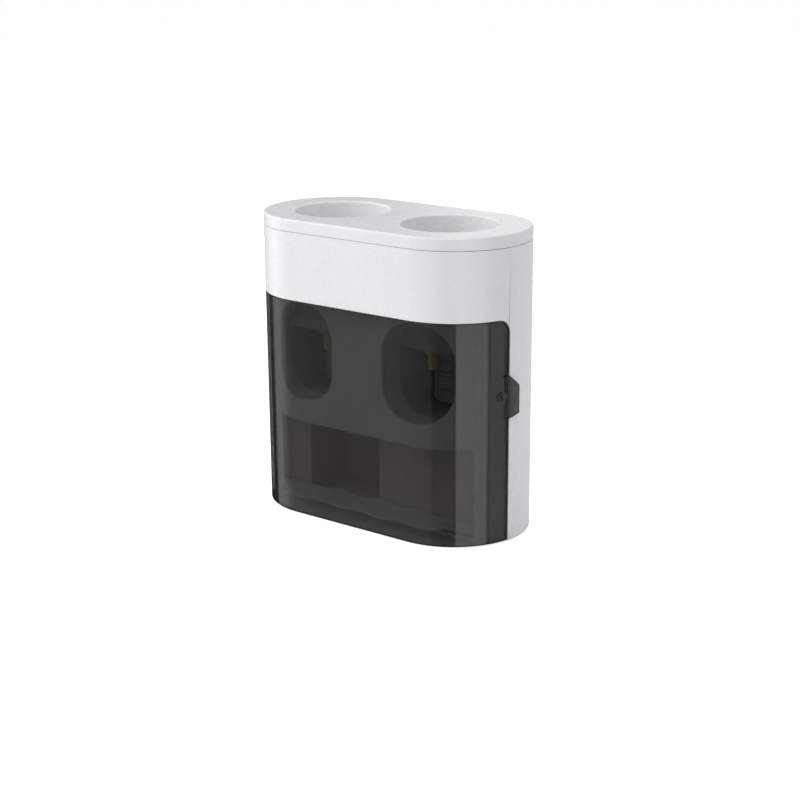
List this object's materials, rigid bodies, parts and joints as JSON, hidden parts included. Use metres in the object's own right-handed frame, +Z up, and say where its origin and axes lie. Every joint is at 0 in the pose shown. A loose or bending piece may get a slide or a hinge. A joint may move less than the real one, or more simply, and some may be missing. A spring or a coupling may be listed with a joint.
{
  "type": "toothpaste dispenser",
  "caption": "Wall-hung stadium-plan toothpaste dispenser: tube wells in the lid, push-lever stations and a brush rack behind a smoked side-hinged door.",
  "frame": {"origin": "middle of the footprint on the underside of the housing", "axes": "+Z up, -Y towards the door and the user, +Y towards the wall, +X to the user's right"},
  "size_m": [0.214, 0.108, 0.215],
  "materials": {
    "white_housing": "satin gloss, moulded",
    "white_panel": "satin, moulded",
    "smoked_door": "polished, smoke tinted, clear",
    "grey_plastic": "fine matte",
    "lever_plastic": "fine matte",
    "soft_rubber": "matte",
    "clear_silicone": "soft sheen, slightly clear",
    "foam_pad": "matte foam",
    "magnet": "nickel plated",
    "steel": "turned"
  },
  "bodies": {
    "housing": {"main_housing": "white_housing", "front_panel": "white_panel", "lower_back_panel": "white_panel", "toothbrush_rack": "white_panel", "hinge_pins": "steel", "housing_magnet": "magnet", "panel_screws": "steel", "dispenser_screws": "steel", "left_dispenser_bay": "grey_plastic", "left_paste_block": "grey_plastic", "left_window_sleeve": "white_panel", "left_tube_seal": "soft_rubber", "left_outlet_nozzle": "clear_silicone", "left_lever_pin": "steel", "left_lever_spring": "steel", "left_suction_bulb": "clear_silicone", "right_dispenser_bay": "grey_plastic", "right_paste_block": "grey_plastic", "right_window_sleeve": "white_panel", "right_tube_seal": "soft_rubber", "right_outlet_nozzle": "clear_silicone", "right_lever_pin": "steel", "right_lever_spring": "steel", "right_suction_bulb": "clear_silicone"},
    "door": {"dust_cover": "smoked_door", "door_magnet": "magnet"},
    "lid": {"top_cover": "white_housing"},
    "bracket": {"wall_bracket": "grey_plastic", "bracket_pad": "foam_pad"},
    "left_lever": {"left_push_lever": "lever_plastic"},
    "right_lever": {"right_push_lever": "lever_plastic"}
  },
  "joints": [
    {"name": "door_swing", "type": "hinge", "parent": "housing", "child": "door", "pos_m": [-0.104, -0.0045, 0.079], "axis": [0, 0, 1], "range_deg": [-105, 0]},
    {"name": "lid_lift", "type": "slide", "parent": "housing", "child": "lid", "axis": [0, 0, 1], "range_m": [0, 0.06]},
    {"name": "bracket_release", "type": "slide", "parent": "housing", "child": "bracket", "axis": [0, 0, -1], "range_m": [0, 0.012]},
    {"name": "left_lever_press", "type": "hinge", "parent": "housing", "child": "left_lever", "pos_m": [-0.05025, 0.002, 0.126], "axis": [1, 0, 0], "range_deg": [0, 8], "stiffness_Nm_per_rad": 0.03, "springref_deg": -8.59},
    {"name": "right_lever_press", "type": "hinge", "parent": "housing", "child": "right_lever", "pos_m": [0.05025, 0.002, 0.126], "axis": [1, 0, 0], "range_deg": [0, 8], "stiffness_Nm_per_rad": 0.03, "springref_deg": -8.59}
  ]
}
